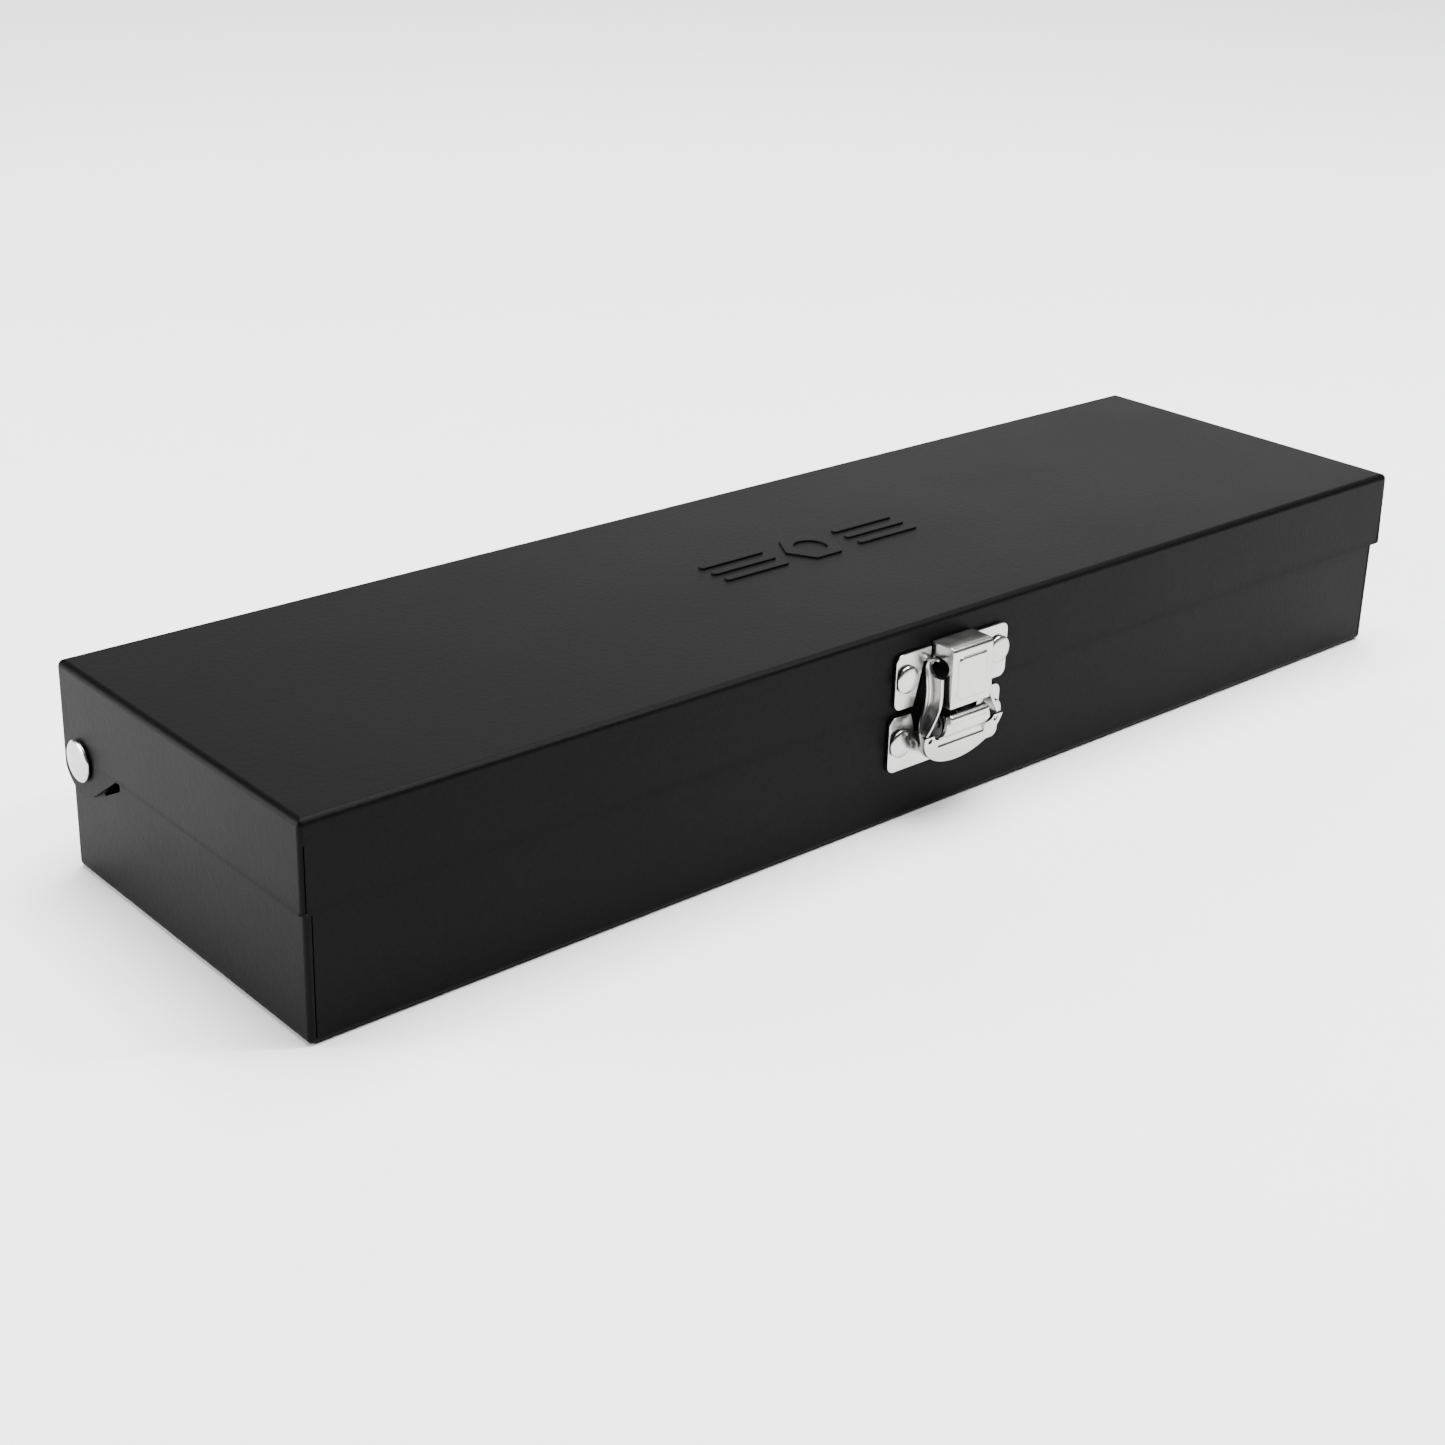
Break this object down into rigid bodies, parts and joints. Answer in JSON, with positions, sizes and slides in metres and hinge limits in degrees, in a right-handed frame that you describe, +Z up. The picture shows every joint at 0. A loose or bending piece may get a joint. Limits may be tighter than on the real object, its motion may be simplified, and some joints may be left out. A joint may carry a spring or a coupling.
{
  "type": "socket wrench set in case",
  "caption": "Long folded steel case with a latched lid on side rivets, holding a ratchet and an extension bar in a moulded tray, and a row of sockets standing on a rail with pegs.",
  "frame": {"origin": "middle of the case base's resting face", "axes": "+X along the case, +Y to the lid's pivot side with the latch on -Y, +Z up"},
  "size_m": [0.3838, 0.1157, 0.0545],
  "materials": {
    "powder_coat": "fine-textured black powder coat on folded steel",
    "nickel": "bright nickel plate, softly polished",
    "tray_plastic": "moulded black plastic with a fine pebble grain",
    "tool_chrome": "polished chrome plate",
    "dark_steel": "blackened hardened steel",
    "grip_plastic": "moulded black grip with ribs"
  },
  "bodies": {
    "case": {"case_base": "powder_coat", "tool_tray": "tray_plastic", "socket_rail": "tray_plastic", "hinge_rivet_left": "nickel", "hinge_rivet_right": "nickel", "hinge_washer_left": "nickel", "hinge_washer_right": "nickel", "latch_plate": "nickel", "latch_rivet_left": "nickel", "latch_rivet_right": "nickel", "latch_pin_upper": "nickel"},
    "lid": {"case_lid": "powder_coat", "catch_plate": "nickel", "catch_rivet_left": "nickel", "catch_rivet_right": "nickel"},
    "latch_link": {"latch_link": "nickel"},
    "latch_handle": {"latch_handle": "nickel", "latch_pin_lower": "nickel"},
    "ratchet": {"ratchet_body": "tool_chrome", "ratchet_grip": "grip_plastic", "ratchet_cover": "tool_chrome", "cover_screw_1": "dark_steel", "cover_screw_2": "dark_steel"},
    "ratchet_drive": {"drive_gear": "dark_steel", "drive_ball": "dark_steel"},
    "release_button": {"release_button": "dark_steel"},
    "reversing_lever": {"reversing_lever": "dark_steel", "pawl": "dark_steel"},
    "extension": {"extension_bar": "tool_chrome", "extension_ball": "dark_steel"},
    "socket_10": {"socket_10": "tool_chrome"},
    "socket_11": {"socket_11": "tool_chrome"},
    "socket_12": {"socket_12": "tool_chrome"},
    "socket_13": {"socket_13": "tool_chrome"},
    "socket_14": {"socket_14": "tool_chrome"},
    "socket_17": {"socket_17": "tool_chrome"},
    "socket_19": {"socket_19": "tool_chrome"},
    "socket_21": {"socket_21": "tool_chrome"},
    "socket_22": {"socket_22": "tool_chrome"},
    "socket_24": {"socket_24": "tool_chrome"}
  },
  "joints": [
    {"name": "lid_hinge", "type": "hinge", "parent": "case", "child": "lid", "pos_m": [0, 0.0442, 0.0313], "axis": [-1, 0, 0], "range_deg": [0, 110]},
    {"name": "latch_link_hinge", "type": "hinge", "parent": "case", "child": "latch_link", "pos_m": [0, -0.05555, 0.0256], "axis": [-1, 0, 0], "range_deg": [0, 100]},
    {"name": "latch_handle_hinge", "type": "hinge", "parent": "latch_link", "child": "latch_handle", "pos_m": [0, -0.05555, 0.0192], "axis": [-1, 0, 0], "range_deg": [-92, 0]},
    {"name": "ratchet_lift", "type": "slide", "parent": "case", "child": "ratchet", "axis": [0, 0, 1], "range_m": [0, 0.013]},
    {"name": "drive_turn", "type": "hinge", "parent": "ratchet", "child": "ratchet_drive", "pos_m": [-0.152, -0.0295, 0.01], "axis": [0, 0, 1], "continuous": true},
    {"name": "release_press", "type": "slide", "parent": "ratchet_drive", "child": "release_button", "axis": [0, 0, -1], "range_m": [0, 0.0025], "stiffness_N_per_m": 600, "springref_m": -0.002},
    {"name": "reversing_swing", "type": "hinge", "parent": "ratchet", "child": "reversing_lever", "pos_m": [-0.1396, -0.0295, 0.035], "axis": [0, 0, 1], "range_deg": [-66, 0]},
    {"name": "extension_lift", "type": "slide", "parent": "case", "child": "extension", "axis": [0, 0, 1], "range_m": [0, 0.024]},
    {"name": "socket_10_lift", "type": "slide", "parent": "case", "child": "socket_10", "axis": [0, 0, 1], "range_m": [0, 0.011]},
    {"name": "socket_11_lift", "type": "slide", "parent": "case", "child": "socket_11", "axis": [0, 0, 1], "range_m": [0, 0.011]},
    {"name": "socket_12_lift", "type": "slide", "parent": "case", "child": "socket_12", "axis": [0, 0, 1], "range_m": [0, 0.011]},
    {"name": "socket_13_lift", "type": "slide", "parent": "case", "child": "socket_13", "axis": [0, 0, 1], "range_m": [0, 0.011]},
    {"name": "socket_14_lift", "type": "slide", "parent": "case", "child": "socket_14", "axis": [0, 0, 1], "range_m": [0, 0.011]},
    {"name": "socket_17_lift", "type": "slide", "parent": "case", "child": "socket_17", "axis": [0, 0, 1], "range_m": [0, 0.011]},
    {"name": "socket_19_lift", "type": "slide", "parent": "case", "child": "socket_19", "axis": [0, 0, 1], "range_m": [0, 0.011]},
    {"name": "socket_21_lift", "type": "slide", "parent": "case", "child": "socket_21", "axis": [0, 0, 1], "range_m": [0, 0.011]},
    {"name": "socket_22_lift", "type": "slide", "parent": "case", "child": "socket_22", "axis": [0, 0, 1], "range_m": [0, 0.011]},
    {"name": "socket_24_lift", "type": "slide", "parent": "case", "child": "socket_24", "axis": [0, 0, 1], "range_m": [0, 0.011]}
  ],
  "couplings": [
    {"joint": "latch_handle_hinge", "follows": "latch_link_hinge", "ratio": -0.9}
  ]
}
